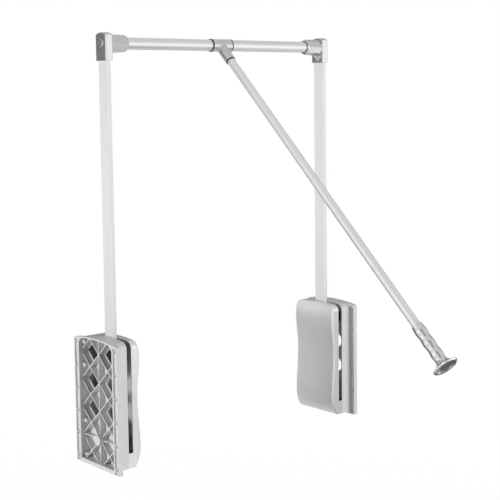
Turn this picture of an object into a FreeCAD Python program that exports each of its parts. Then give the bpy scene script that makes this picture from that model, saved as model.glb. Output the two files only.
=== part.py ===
import FreeCAD, Part
import math
import os

os.makedirs("parts", exist_ok=True)
V = FreeCAD.Vector

# Overall size in millimetres, origin where the pivot axis meets the left wall plane
width = 611.0
plate_height = 236.0
plate_depth = 141.0
pivot_rise = 52.0
rail_rise = 727.3
arch_rise = 6.0

# Side housing
housing_depth = 114.0
housing_lift = 5.0
crown_radius = 14.0
wall = 2.6
parting = 31.4
slot_width = 9.6
slot_foot = 19.0

# Wall flange and its screws
flange_thick = 9.0
flange_lip = 2.2
flange_web = 3.0
web_setback = 3.0
screw_rows = 6
screw_pitch = 43.3
screw_hole_d = 4.8
screw_inset = 7.0
screw_boss_d = 8.6
channel_step = 1.2

# Lattice tray
rib_setback = 7.5
rib_height = 11.5
rib_thick = 1.7
floor_thick = 2.0
lattice_pitch = 53.0
lattice_half = 29.5
window_border = 6.5
pivot_boss_d = 19.6
pivot_boss_stand = 1.0
ring_shift = 10.0
ring_count = 3

# Cover profile, depth from the wall plane and height above the pivot
toe_x = 47.5
shoulder_x = 57.2
shoulder_z = -27.0
low_bulge_x = 59.0
low_bulge_z = 4.0
waist_x = 54.6
waist_z = 98.0
top_bulge_x = 59.4
top_bulge_drop = 21.0
brow_x = 54.0
cover_edge_radius = 3.5

# Case screws
case_screw_d = 3.4
case_head_d = 7.0
case_head_h = 2.2
case_screw_bite = 9.0
post_d = 8.4
post_inset = 8.0

# Pivot and hub
axle_d = 12.0
axle_setback = 4.0
axle_seat = 11.0
axle_fit = 0.05
washer_d = 23.0
washer_thick = 1.0
washer_gap = 0.1
swing_range = 90.0

# Sector and rack
gear_module = 2.0
gear_teeth = 20
pressure_angle = 20.0
backlash = 0.34
sector_gap = 0.3
sector_first = -6
sector_last = 1
rack_back = 28.0
rack_gap = 0.15
guide_wall = 4.6
guide_lip = 1.8
mesh_reach = 10.0

# Gas spring
cylinder_d = 16.0
cylinder_wall = 1.3
cylinder_x = 31.0
cradle_wall = 2.0
cradle_gap = 1.3
anvil_gap = 4.3
spring_headroom = 15.0
spring_reserve = 1.6
piston_rod_d = 8.0
piston_fit = 0.08
piston_h = 8.0
piston_reserve = 30.0
cylinder_end = 4.0
gland_h = 10.0
gland_cap = 2.0
carriage_foot = 13.0
carriage_top = 27.0

# Rubber stops
buffer_thick = 5.0
buffer_drop = 14.0
buffer_toe = 8.0
buffer_gap = 0.2

# Arm and rivets
arm_depth = 30.0
arm_thick = 8.0
arm_wall = 1.6
arm_edge_radius = 2.2
arm_start = 16.5
tongue_reach = 48.0
tongue_fit = 0.05
rivet_d = 5.0
rivet_first = 13.0
rivet_pitch = 22.0

# Corner connector
corner_thick = 15.6
corner_depth = 33.0
corner_above = 19.5
corner_below = 31.5
corner_dome = 4.0
corner_roof = 5.0
corner_edge_radius = 2.0
socket_reach = 38.0
socket_root_r = 16.2
socket_tip_r = 14.4
socket_drop = 0.8
mouth_chamfer = 3.0
gusset_reach = 15.0
gusset_thick = 3.2
collar_depth = 3.5
collar_d = 24.4
corner_screw_d = 6.0
corner_head_d = 13.6
corner_head_h = 2.2
recess_d = 17.6
plug_length = 20.0

# Rail
rail_d = 22.0
rail_wall = 1.4
slide_fit = 0.05
core_wall = 1.5
core_gap = 26.5

# Tee, rod and grip
tee_length = 46.0
tee_d = 24.0
tee_bead_d = 24.6
tee_bead = 5.0
bush_wall = 1.1
bush_reach = 14.0
bush_flange = 1.8
bush_flange_d = 25.0
end_gap = 0.3
branch_d = 20.0
branch_reach = 44.0
branch_bore_start = 14.5
rod_lean = 46.6
rod_d = 15.8
rod_wall = 1.2
rod_collar_h = 1.6
rod_collar_d = 17.8
grip_start = 700.0
grip_end = 788.0
grip_valley_r = 9.6
grip_swell = 1.2
grip_swells = 3
grip_swell_length = 23.5
flare_r = 23.0
flare_rim = 3.2
rim_roll = 26.0
dish_depth = 6.0
grip_socket = 52.0
grip_screw_at = 30.0
grip_screw_d = 4.0
grip_screw_turn = 40.0

# Derived levels
z_foot = -pivot_rise
z_corner = plate_height - pivot_rise
half_plate = plate_depth / 2
half_housing = housing_depth / 2
arch_radius = (half_plate ** 2 + arch_rise ** 2) / (2 * arch_rise)
arch_centre = z_corner + arch_rise - arch_radius
box_foot = z_foot + housing_lift
floor_x = rib_setback + rib_height
floor_in = floor_x + floor_thick
arm_x = parting + slot_width / 2
arm_x0 = arm_x - arm_thick / 2
arm_x1 = arm_x + arm_thick / 2
hub_x0 = floor_in + pivot_boss_stand + washer_thick + 2 * washer_gap
hub_mid = parting - sector_gap
cover_boss_x = arm_x1 + washer_thick + 2 * washer_gap
pitch_r = gear_module * gear_teeth / 2
stroke = pitch_r * math.radians(swing_range)
cylinder_top = z_corner - spring_headroom
cylinder_foot = carriage_top + stroke + gland_cap + spring_reserve
piston_z = cylinder_foot + gland_h + piston_h + piston_reserve
arm_top = rail_rise + corner_above - corner_dome - corner_roof
core_d = rail_d - 2 * rail_wall - 2 * slide_fit
half_arm = arm_depth / 2
mid_x = width / 2
top_bulge_z = z_corner - top_bulge_drop
cylinder_y = half_housing - post_inset - post_d / 2 - cradle_gap - cradle_wall - cylinder_d / 2


def box(x0, x1, y0, y1, z0, z1):
    return Part.makeBox(x1 - x0, y1 - y0, z1 - z0, V(x0, y0, z0))


def rod_x(r, x0, x1, y=0.0, z=0.0):
    return Part.makeCylinder(r, x1 - x0, V(x0, y, z), V(1, 0, 0))


def rod_z(r, z0, z1, x=0.0, y=0.0):
    return Part.makeCylinder(r, z1 - z0, V(x, y, z0), V(0, 0, 1))


def prism_x(points, x0, x1):
    ring = [V(x0, y, z) for y, z in points]
    ring.append(ring[0])
    return Part.Face(Part.makePolygon(ring)).extrude(V(x1 - x0, 0, 0))


def join(shapes):
    return shapes[0].multiFuse(shapes[1:]).removeSplitter()


def edges_along_x(shape, test):
    found = []
    for edge in shape.Edges:
        a = edge.Vertexes[0].Point
        b = edge.Vertexes[-1].Point
        if abs(a.y - b.y) < 1e-4 and abs(a.z - b.z) < 1e-4 and abs(a.x - b.x) > 0.5 and test(a):
            found.append(edge)
    return found


def arch_z(y):
    return arch_centre + math.sqrt(arch_radius ** 2 - y ** 2)


# Arch-topped block between two depths from the wall plane
def arched(x0, x1, half, foot, inset=0.0, crown=0.0):
    h = half - inset
    f = foot + inset
    side = arch_z(h) - inset
    top = arch_z(0.0) - inset
    corners = [V(x0, -h, side), V(x0, -h, f), V(x0, h, f), V(x0, h, side)]
    edges = [Part.makeLine(corners[i], corners[i + 1]) for i in range(3)]
    edges.append(Part.Arc(corners[3], V(x0, 0, top), corners[0]).toShape())
    block = Part.Face(Part.Wire(edges)).extrude(V(x1 - x0, 0, 0))
    if crown > 0:
        block = block.makeFillet(crown, edges_along_x(block, lambda p: p.z > 0))
    return block


def row_heights():
    middle = z_foot + plate_height / 2
    start = middle - screw_pitch * (screw_rows - 1) / 2
    return [start + screw_pitch * i for i in range(screw_rows)]


def screw_spots():
    y = half_plate - screw_inset
    return [(s * y, z) for s in (-1, 1) for z in row_heights()]


# Posts that join the two shells stand along the back and the foot, clear of the arm
def post_spots():
    back = half_housing - post_inset
    low = box_foot + post_inset
    high = arch_z(back) - post_inset - wall
    return [(back, low), (back, lattice_pitch / 2), (back, lattice_pitch * 2.5), (back, high), (-back, low)]


# Blind ring bosses along the front edge of the tray
def ring_spots():
    front = post_inset - half_housing
    return [(front, lattice_pitch * (k + 0.5) + ring_shift) for k in range(ring_count)]


def lattice_ribs():
    field = arched(rib_setback, floor_x, half_housing, box_foot, wall, crown_radius - wall)
    slope = lattice_pitch / 2 / lattice_half
    lean = math.sqrt(1 + slope ** 2)
    t = rib_thick / 2 * lean
    reach = half_housing
    rise = slope * reach
    rows = range(int(-rise // lattice_pitch) - 1, int((z_corner + rise) // lattice_pitch) + 2)
    ribs = []
    for k in rows:
        z = k * lattice_pitch
        for s in (-1, 1):
            a = z - s * rise
            b = z + s * rise
            if max(a, b) < box_foot or min(a, b) > arch_z(0):
                continue
            quad = [(-reach, a - t), (reach, b - t), (reach, b + t), (-reach, a + t)]
            ribs.append(prism_x(quad, rib_setback, floor_x))
    half = rib_thick / 2
    ribs.append(box(rib_setback, floor_x, -half, half, box_foot, arch_z(0)))
    ribs.append(box(rib_setback, floor_x, -reach, reach, -half, half))
    return ribs[0].multiFuse(ribs[1:]).common(field)


def windows():
    cuts = []
    dy = lattice_half - window_border
    dz = dy * lattice_pitch / 2 / lattice_half
    for s in (-1, 1):
        for k in (1, 2, 3):
            y = s * lattice_half
            z = k * lattice_pitch
            top = min(z + dz, arch_z(y) - wall - window_border)
            ring = [(y - dy, z), (y, z - dz), (y + dy, z), (y, top)]
            cuts.append(prism_x(ring, floor_x - 1, floor_in + 1))
    return cuts


def flange_channels():
    cuts = []
    y0 = half_housing + channel_step
    y1 = half_plate - flange_lip
    z0 = z_foot + wall
    z1 = z_corner - wall
    room = web_setback + flange_web
    for s in (-1, 1):
        lo, hi = sorted((s * y0, s * y1))
        cuts.append(box(room, flange_thick + 1, lo, hi, z0, z1))
        cuts.append(box(-1, web_setback, lo, hi, z0, z1))
    return cuts


def rear_shell():
    flange = arched(0, flange_thick, half_plate, z_foot)
    body = arched(0, parting, half_housing, box_foot, 0.0, crown_radius)
    shell = join([flange, body])
    tray = arched(-1, floor_x, half_housing, box_foot, wall, crown_radius - wall)
    bay = arched(floor_in, parting + 1, half_housing, box_foot, wall, crown_radius - wall)
    shell = shell.cut([tray, bay] + flange_channels())
    adds = [lattice_ribs()]
    for y, z in screw_spots():
        adds.append(rod_x(screw_boss_d / 2, 0, web_setback + 0.5, y, z))
    adds.append(rod_x(pivot_boss_d / 2, 0, floor_x + 0.5))
    adds.append(rod_x(washer_d / 2, floor_x + 0.5, hub_x0 - washer_thick - 2 * washer_gap))
    for y, z in post_spots():
        adds.append(rod_x(post_d / 2, rib_setback, parting, y, z))
    for y, z in ring_spots():
        adds.append(rod_x(post_d / 2, rib_setback, floor_x, y, z))
    shell = join([shell] + adds)
    cuts = windows()
    room = web_setback + flange_web
    for y, z in screw_spots():
        cuts.append(rod_x(screw_hole_d / 2, -1, room + 1, y, z))
    cuts.append(rod_x(axle_d / 2, axle_setback, hub_x0))
    for y, z in post_spots():
        cuts.append(rod_x(case_screw_d / 2, rib_setback - 1, parting + 1, y, z))
    for y, z in ring_spots():
        cuts.append(rod_x(case_screw_d / 2, rib_setback - 1, floor_x, y, z))
    return shell.cut(cuts).removeSplitter()


# Room face of the cover: a wavy line in X and Z carried along Y
def cover_profile(inset):
    foot = box_foot + inset
    top = arch_z(0) - inset + 1.0
    marks = [(toe_x, foot), (shoulder_x, shoulder_z), (low_bulge_x, low_bulge_z),
             (waist_x, waist_z), (top_bulge_x, top_bulge_z), (brow_x, top)]
    half = half_housing + 1
    wave = Part.BSplineCurve()
    wave.interpolate([V(x - inset, -half, z) for x, z in marks])
    low = V(parting - 1, -half, foot)
    high = V(parting - 1, -half, top)
    edges = [Part.makeLine(low, wave.StartPoint), wave.toShape()]
    edges.append(Part.makeLine(wave.EndPoint, high))
    edges.append(Part.makeLine(high, low))
    return Part.Face(Part.Wire(edges)).extrude(V(0, 2 * half, 0))


def cover_block(inset):
    start = parting if inset == 0 else parting - 1
    frame = arched(start, low_bulge_x + 20, half_housing, box_foot, inset, crown_radius - inset)
    return frame.common(cover_profile(inset))


def cover():
    block = cover_block(0.0)
    face = max(block.Faces, key=lambda f: f.CenterOfMass.x)
    soft = [e for e in face.Edges]
    block = block.makeFillet(cover_edge_radius, soft)
    shell = block.cut(cover_block(wall))
    adds = [rod_x(washer_d / 2, cover_boss_x, low_bulge_x - wall / 2)]
    for y, z in post_spots():
        adds.append(rod_x(post_d / 2, parting, low_bulge_x, y, z).common(block))
    shell = join([shell] + adds)
    slot = box(parting - 1, parting + slot_width, -half_plate, half_arm + 2.0, -slot_foot, z_corner + 20)
    cuts = [slot, rod_x(axle_d / 2, cover_boss_x - 1, cover_boss_x + axle_seat)]
    for y, z in post_spots():
        cuts.append(rod_x(case_screw_d / 2, parting - 1, parting + case_screw_bite + 1, y, z))
    return shell.cut(cuts).removeSplitter()


def case_screws():
    pieces = []
    for y, z in post_spots():
        head = rod_x(case_head_d / 2, rib_setback - case_head_h, rib_setback, y, z)
        head = head.makeFillet(0.9, [e for e in head.Edges if e.Vertexes[0].Point.x < rib_setback - 1])
        slot_a = box(0, rib_setback - case_head_h + 1.1, y - 0.6, y + 0.6, z - 2.1, z + 2.1)
        slot_b = box(0, rib_setback - case_head_h + 1.1, y - 2.1, y + 2.1, z - 0.6, z + 0.6)
        shank = rod_x(case_screw_d / 2, rib_setback, parting + case_screw_bite, y, z)
        pieces.append(join([head, shank]).cut([slot_a, slot_b]))
    return Part.makeCompound(pieces)


def pivot_axle():
    pin = rod_x(axle_d / 2, axle_setback, cover_boss_x + axle_seat)
    return pin.makeChamfer(0.8, [e for e in pin.Edges if e.Length < 4 * axle_d and len(e.Vertexes) == 1])


def washer(x0):
    return rod_x(washer_d / 2, x0, x0 + washer_thick).cut(rod_x(axle_d / 2 + axle_fit, x0 - 1, x0 + 3))


def pivot_washers():
    first = hub_x0 - washer_thick - washer_gap * 2
    second = cover_boss_x - washer_thick
    return Part.makeCompound([washer(first), washer(second)])


def involute(r, base):
    a = math.acos(base / r)
    return math.tan(a) - a


# Sector teeth with involute flanks, thinned for running clearance
def sector_teeth(x0, x1):
    base = pitch_r * math.cos(math.radians(pressure_angle))
    root = pitch_r - 1.25 * gear_module
    tip = pitch_r + gear_module
    half = (math.pi * gear_module / 2 - backlash) / (2 * pitch_r)
    half += involute(pitch_r, base)
    steps = 5
    radii = [base + (tip - base) * i / steps for i in range(steps + 1)]
    teeth = []
    for k in range(sector_first, sector_last + 1):
        mid = math.radians(k * 360.0 / gear_teeth)
        left = [(root - 0.5, mid - half)] + [(r, mid - half + involute(r, base)) for r in radii]
        right = [(r, 2 * mid - a) for r, a in reversed(left)]
        ring = [(r * math.cos(a), r * math.sin(a)) for r, a in left + right]
        teeth.append(prism_x(ring, x0, x1))
    return teeth


def hub_sector():
    root = pitch_r - 1.25 * gear_module
    pieces = [rod_x(root, hub_x0, hub_mid)] + sector_teeth(hub_x0, hub_mid)
    pieces.append(rod_x(half_arm, hub_mid, arm_x1))
    pieces.append(box(arm_x0, arm_x1, -half_arm, half_arm, 0, arm_start))
    inner_x = arm_thick / 2 - arm_wall - tongue_fit
    inner_y = half_arm - arm_wall - tongue_fit
    tongue = box(arm_x - inner_x, arm_x + inner_x, -inner_y, inner_y, 0, arm_start + tongue_reach)
    pieces.append(tongue)
    hub = join(pieces)
    bores = [rod_x(axle_d / 2 + axle_fit, hub_x0 - 1, arm_x1 + 1)]
    for z in rivet_heights():
        bores.append(rod_x(rivet_d / 2, arm_x0 - 1, arm_x1 + 1, 0, z))
    return hub.cut(bores).removeSplitter()


def rivet_heights():
    return [arm_start + rivet_first, arm_start + rivet_first + rivet_pitch]


def rounded_bar(hx, hy, r, z0, z1):
    bar = box(arm_x - hx, arm_x + hx, -hy, hy, z0, z1)
    upright = [e for e in bar.Edges if abs(e.Vertexes[0].Point.z - e.Vertexes[-1].Point.z) > 1]
    return bar.makeFillet(r, upright)


def arm():
    bar = rounded_bar(arm_thick / 2, half_arm, arm_edge_radius, arm_start, arm_top)
    inner_x = arm_thick / 2 - arm_wall
    inner_y = half_arm - arm_wall
    bore = box(arm_x - inner_x, arm_x + inner_x, -inner_y, inner_y, arm_start - 1, arm_top + 1)
    cuts = [bore, rod_x(corner_screw_d / 2 + 0.1, 0, 2 * arm_x, 0, rail_rise)]
    for z in rivet_heights():
        cuts.append(rod_x(rivet_d / 2, 0, 2 * arm_x, 0, z))
    return bar.cut(cuts)


def arm_rivets():
    return Part.makeCompound([rod_x(rivet_d / 2, arm_x0, arm_x1, 0, z) for z in rivet_heights()])


corner_x0 = arm_x - corner_thick / 2
corner_x1 = arm_x + corner_thick / 2
socket_end = corner_x1 + socket_reach
recess_x = corner_x0 + corner_head_h + 0.4
tube_start = corner_x1 + 3.0
rail_end = mid_x - tee_length / 2 - bush_flange - end_gap
core_reach = mid_x - tube_start - plug_length - core_gap


# Elbow body with a domed top and softened edges
def corner_body():
    h = corner_depth / 2
    foot = rail_rise - corner_below
    side = rail_rise + corner_above - corner_dome
    top = rail_rise + corner_above
    marks = [V(corner_x0, -h, side), V(corner_x0, -h, foot), V(corner_x0, h, foot), V(corner_x0, h, side)]
    edges = [Part.makeLine(marks[i], marks[i + 1]) for i in range(3)]
    edges.append(Part.Arc(marks[3], V(corner_x0, 0, top), marks[0]).toShape())
    body = Part.Face(Part.Wire(edges)).extrude(V(corner_thick, 0, 0))
    return body.makeFillet(corner_edge_radius, [e for e in body.Edges if e.CenterOfMass.z > foot + 0.1])


def octagon(x, r, drop):
    turn = [math.radians(45 * i) for i in range(9)]
    return Part.makePolygon([V(x, r * math.cos(a), rail_rise - drop + r * math.sin(a)) for a in turn])


# Tapered socket with eight flats, chamfered at its mouth
def corner_socket():
    flat = math.cos(math.radians(22.5))
    ends = [octagon(corner_x1 - 1.0, socket_root_r / flat * 0.97, socket_drop)]
    ends.append(octagon(socket_end, socket_tip_r / flat, 0.0))
    horn = Part.makeLoft(ends, True, True)
    length = socket_reach + 2.0
    cone = Part.makeCone(socket_tip_r + length, socket_tip_r - mouth_chamfer / 2, length + mouth_chamfer / 2,
                         V(corner_x1 - 2.0 - mouth_chamfer / 2, 0, rail_rise), V(1, 0, 0))
    return horn.common(cone)


def corner_connector():
    foot = rail_rise - corner_below
    web = Part.Face(Part.makePolygon([
        V(corner_x1 - 1, -gusset_thick / 2, rail_rise),
        V(corner_x1 + gusset_reach, -gusset_thick / 2, rail_rise),
        V(corner_x1 + gusset_reach, -gusset_thick / 2, rail_rise - socket_tip_r),
        V(corner_x1 + 0.5, -gusset_thick / 2, foot + 2.0),
        V(corner_x1 - 1, -gusset_thick / 2, foot + 2.0),
        V(corner_x1 - 1, -gusset_thick / 2, rail_rise)])).extrude(V(0, gusset_thick, 0))
    body = join([corner_body(), corner_socket(), web])
    pocket = rounded_bar(arm_thick / 2, half_arm, arm_edge_radius, foot - 1, arm_top)
    bore = rod_x(rail_d / 2, tube_start, socket_end + 1, 0, rail_rise)
    mouth = rod_x(collar_d / 2, socket_end - collar_depth, socket_end + 1, 0, rail_rise)
    recess = rod_x(recess_d / 2, corner_x0 - 1, recess_x, 0, rail_rise)
    hole = rod_x(corner_screw_d / 2 + 0.1, 0, tube_start + 1, 0, rail_rise)
    return body.cut([pocket, bore, mouth, recess, hole]).removeSplitter()


def corner_screw():
    head = rod_x(corner_head_d / 2, recess_x - corner_head_h, recess_x, 0, rail_rise)
    head = head.makeFillet(1.2, [e for e in head.Edges if e.Vertexes[0].Point.x < recess_x - 1])
    shank = rod_x(corner_screw_d / 2, recess_x, tube_start + plug_length - 3, 0, rail_rise)
    a = 3.6
    b = 0.9
    depth = recess_x - corner_head_h + 1.4
    cross = [box(0, depth, -a, a, rail_rise - b, rail_rise + b), box(0, depth, -b, b, rail_rise - a, rail_rise + a)]
    return join([head, shank]).cut(cross)


def rail_tube():
    tube = rod_x(rail_d / 2, tube_start, rail_end, 0, rail_rise)
    return tube.cut(rod_x(rail_d / 2 - rail_wall, tube_start - 1, rail_end + 1, 0, rail_rise))


def rail_plug():
    plug = rod_x(rail_d / 2 - rail_wall, tube_start, tube_start + plug_length, 0, rail_rise)
    return plug.cut(rod_x(corner_screw_d / 2, tube_start - 1, tube_start + plug_length - 3, 0, rail_rise))


def socket_collar():
    ring = rod_x(collar_d / 2, socket_end - collar_depth, socket_end - 0.6, 0, rail_rise)
    return ring.cut(rod_x(rail_d / 2, 0, socket_end + 1, 0, rail_rise))


rack_x0 = hub_x0 + 0.2
rack_x1 = hub_mid - 0.2
rack_foot = -mesh_reach - stroke
carriage_x1 = cylinder_x + piston_rod_d / 2 + 2.5
carriage_y1 = cylinder_y + piston_rod_d / 2 + 2.5


# Straight rack that meets the sector behind the pivot, with a carriage for the piston rod
def rack():
    pitch = math.pi * gear_module
    slope = math.tan(math.radians(pressure_angle))
    half = pitch / 4 - backlash / 2
    tip = pitch_r - gear_module
    root = pitch_r + 1.25 * gear_module
    tip_half = half - gear_module * slope
    root_half = half + 1.25 * gear_module * slope
    ring = [(rack_back, rack_foot), (root, rack_foot)]
    first = math.ceil((rack_foot + root_half) / pitch - 0.5)
    last = math.floor((carriage_foot - root_half) / pitch - 0.5)
    for k in range(first, last + 1):
        z = (k + 0.5) * pitch
        ring += [(root, z - root_half), (tip, z - tip_half), (tip, z + tip_half), (root, z + root_half)]
    ring += [(root, carriage_top), (rack_back, carriage_top)]
    bar = prism_x(ring, rack_x0, rack_x1)
    head = box(rack_x0, carriage_x1, root, carriage_y1, carriage_foot, carriage_top)
    upright = [e for e in head.Edges if abs(e.Vertexes[0].Point.z - e.Vertexes[-1].Point.z) > 1]
    head = head.makeFillet(2.0, upright)
    seat = rod_z(piston_rod_d / 2, carriage_foot + 3, carriage_top + 1, cylinder_x, cylinder_y)
    return join([bar, head]).cut(seat).removeSplitter()


# Nylon channel that backs the rack and keeps it in line
def rack_guide():
    y0 = pitch_r + gear_module + 0.8
    y1 = rack_back + rack_gap + guide_wall
    foot = box_foot + wall
    top = carriage_foot - 4.0
    block = box(floor_in, rack_x1 + rack_gap + guide_lip, y0, y1, foot, top)
    run = box(rack_x0 - rack_gap, rack_x1 + rack_gap, y0 - 1, rack_back + rack_gap, foot + wall / 2, top + 1)
    block = block.cut(run)
    ease = [e for e in edges_along_x(block, lambda p: p.y > y1 - 0.1)]
    return block.makeFillet(1.5, ease)


def piston_rod():
    stem = rod_z(piston_rod_d / 2, carriage_foot + 3, piston_z, cylinder_x, cylinder_y)
    bore = cylinder_d / 2 - cylinder_wall - piston_fit
    head = rod_z(bore, piston_z - piston_h, piston_z, cylinder_x, cylinder_y)
    groove = rod_z(bore + 1, piston_z - piston_h + 3, piston_z - piston_h + 5, cylinder_x, cylinder_y)
    groove = groove.cut(rod_z(bore - 1, z_foot, z_corner, cylinder_x, cylinder_y))
    return join([stem, head.cut(groove)])


def gas_cylinder():
    body = rod_z(cylinder_d / 2, cylinder_foot, cylinder_top, cylinder_x, cylinder_y)
    body = body.makeFillet(2.5, [e for e in body.Edges if e.CenterOfMass.z > cylinder_top - 0.1 and e.Length > 9])
    bore = rod_z(cylinder_d / 2 - cylinder_wall, cylinder_foot - 1, cylinder_top - cylinder_end, cylinder_x, cylinder_y)
    return body.cut(bore)


def cylinder_gland():
    plug = rod_z(cylinder_d / 2 - cylinder_wall, cylinder_foot, cylinder_foot + gland_h, cylinder_x, cylinder_y)
    cap = rod_z(cylinder_d / 2, cylinder_foot - gland_cap, cylinder_foot, cylinder_x, cylinder_y)
    bore = rod_z(piston_rod_d / 2 + axle_fit, z_foot, z_corner, cylinder_x, cylinder_y)
    return join([plug, cap]).cut(bore)


# Cradle: foot strip on the shell floor, ring at the foot of the cylinder, anvil over its top
def cylinder_cradle():
    r = cylinder_d / 2
    y0 = cylinder_y - r + 2
    y1 = cylinder_y + r - 2
    foot_z = cylinder_foot + 3
    strip_x = cylinder_x - r
    strip = box(floor_in, strip_x, y0, y1, foot_z, cylinder_top)
    ring = rod_z(r + cradle_wall, foot_z, foot_z + 8, cylinder_x, cylinder_y)
    web = box(floor_in, cylinder_x, y0, y1, foot_z, foot_z + 8)
    front = half_arm + buffer_gap + buffer_thick + anvil_gap
    anvil = box(floor_in, cylinder_x + r, front, cylinder_y + r + 1, cylinder_top - 12, z_corner + 20)
    room = arched(floor_in, cylinder_x + r + 1, half_housing, box_foot, wall, crown_radius - wall)
    body = join([strip, ring, web, anvil.common(room)])
    seat = rod_z(r, cylinder_foot, cylinder_top, cylinder_x, cylinder_y)
    seat = seat.makeFillet(2.5, [e for e in seat.Edges if e.CenterOfMass.z > cylinder_top - 0.1 and e.Length > 9])
    return body.cut(seat).removeSplitter()


def upright_buffer():
    y0 = half_arm + buffer_gap
    pad = box(arm_x0, arm_x1, y0, y0 + buffer_thick, z_corner - buffer_drop, z_corner + 20)
    room = arched(parting, arm_x1 + 1, half_housing, box_foot, wall, crown_radius - wall)
    return pad.common(room)


def lowered_buffer():
    front = -half_housing
    low = -slot_foot
    back = front + wall + buffer_thick
    cap = box(arm_x0, arm_x1, front + buffer_gap, back, low, -half_arm - buffer_gap)
    toe = box(arm_x0, arm_x1, front + wall, back, low - buffer_toe, low)
    return join([cap, toe])


def left_pieces():
    return {"rear_shell": rear_shell(), "cover": cover(), "case_screws": case_screws(),
            "pivot_axle": pivot_axle(), "pivot_washers": pivot_washers(), "hub_sector": hub_sector(),
            "arm": arm(), "arm_rivets": arm_rivets(), "corner_connector": corner_connector(),
            "corner_screw": corner_screw(), "rail_tube": rail_tube(), "rail_plug": rail_plug(),
            "socket_collar": socket_collar(), "rack": rack(), "rack_guide": rack_guide(),
            "piston_rod": piston_rod(), "gas_cylinder": gas_cylinder(),
            "cylinder_gland": cylinder_gland(), "cylinder_cradle": cylinder_cradle(),
            "upright_buffer": upright_buffer(), "lowered_buffer": lowered_buffer()}


# Pull rod pieces are drawn about the tee's centre with the rod straight down, then leaned out
def leaned(shape):
    shape.rotate(V(0, 0, 0), V(1, 0, 0), -rod_lean)
    shape.translate(V(mid_x, 0, rail_rise))
    return shape


def core_tube():
    r = core_d / 2
    tube = rod_x(r, mid_x - core_reach, mid_x + core_reach, 0, rail_rise)
    return tube.cut(rod_x(r - core_wall, 0, width, 0, rail_rise))


bush_r = core_d / 2 + slide_fit + bush_wall


def tee():
    h = tee_length / 2
    sleeve = rod_x(tee_d / 2, -h, h)
    beads = [rod_x(tee_bead_d / 2, -h, -h + tee_bead), rod_x(tee_bead_d / 2, h - tee_bead, h)]
    beads = [b.makeFillet(0.7, b.Edges[:1] + b.Edges[2:]) for b in beads]
    branch = rod_z(branch_d / 2, -branch_reach, 0)
    body = join([sleeve] + beads + [branch])
    seam = [e for e in body.Edges if -branch_reach + 1 < e.CenterOfMass.z < -2 and e.BoundBox.ZLength > 1
            and e.BoundBox.XLength > branch_d * 0.8]
    body = body.makeFillet(2.0, seam)
    bore = rod_x(bush_r, -h - 1, h + 1)
    socket = rod_z(rod_d / 2, -branch_reach - 1, -branch_bore_start)
    return leaned(body.cut([bore, socket]))


def tee_bush(s):
    h = tee_length / 2
    sleeve = rod_x(bush_r, h - bush_reach, h)
    flange = rod_x(bush_flange_d / 2, h, h + bush_flange)
    bush = join([sleeve, flange]).cut(rod_x(core_d / 2 + slide_fit, 0, 2 * h))
    return bush if s > 0 else bush.mirror(V(0, 0, 0), V(1, 0, 0))


def tee_bushes():
    return leaned(Part.makeCompound([tee_bush(-1), tee_bush(1)]))


def rod_collar():
    ring = rod_z(rod_collar_d / 2, -branch_reach - rod_collar_h, -branch_reach)
    return leaned(ring.cut(rod_z(rod_d / 2, -branch_reach - 9, 0)))


rod_end = grip_start + grip_socket


def pull_rod():
    tube = rod_z(rod_d / 2, -rod_end, -branch_bore_start)
    return leaned(tube.cut(rod_z(rod_d / 2 - rod_wall, -rod_end - 1, 0)))


# Three swells, then a flare with a dished end
def grip():
    steps = 8 * grip_swells
    swells = []
    for i in range(steps + 1):
        phase = math.pi * i / 8
        r = grip_valley_r + grip_swell * math.sin(phase) ** 2
        swells.append(V(r, 0, -grip_start - 2 - grip_swell_length * i / 8))
    neck_z = swells[-1].z
    body = Part.BSplineCurve()
    body.interpolate(swells)
    rim_z = -grip_end
    flare = Part.BSplineCurve()
    drop = neck_z - rim_z - flare_rim
    flare.interpolate([swells[-1], V(grip_valley_r + 1.6, 0, neck_z - drop * 0.35),
                       V(grip_valley_r + 6.2, 0, neck_z - drop * 0.75), V(flare_r, 0, rim_z + flare_rim)])
    start = V(0, 0, -grip_start)
    lip = V(grip_valley_r - 0.4, 0, -grip_start)
    sweep = math.radians(90.0 + rim_roll)
    rim = [V(flare_r - flare_rim + flare_rim * math.cos(a), 0, rim_z + flare_rim - flare_rim * math.sin(a))
           for a in (0.0, sweep / 2, sweep)]
    edge = rim[-1]
    dish = V(0, 0, rim_z + dish_depth)
    hollow = dish.z - edge.z
    dish_r = (edge.x ** 2 + hollow ** 2) / (2 * hollow)
    half_x = edge.x / 2
    mid = V(half_x, 0, dish.z - dish_r + math.sqrt(dish_r ** 2 - half_x ** 2))
    edges = [Part.makeLine(start, lip), Part.makeLine(lip, swells[0]), body.toShape(), flare.toShape(),
             Part.Arc(*rim).toShape(), Part.Arc(edge, mid, dish).toShape(), Part.makeLine(dish, start)]
    solid = Part.Face(Part.Wire(edges)).revolve(V(0, 0, 0), V(0, 0, 1), 360)
    bore = rod_z(rod_d / 2, -rod_end, 0)
    return leaned(solid.cut(bore).cut(screw_body(0.0)))


def screw_body(head_gap):
    r = grip_screw_d / 2
    pin = rod_x(r, rod_d / 2 - rod_wall, grip_valley_r + grip_swell * 0.6 - head_gap)
    pin.rotate(V(0, 0, 0), V(0, 0, 1), -grip_screw_turn)
    pin.translate(V(0, 0, -grip_start - grip_screw_at))
    return pin


def grip_screw():
    pin = screw_body(0.3)
    return leaned(pin.cut(rod_z(rod_d / 2, -rod_end, 0)))


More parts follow.
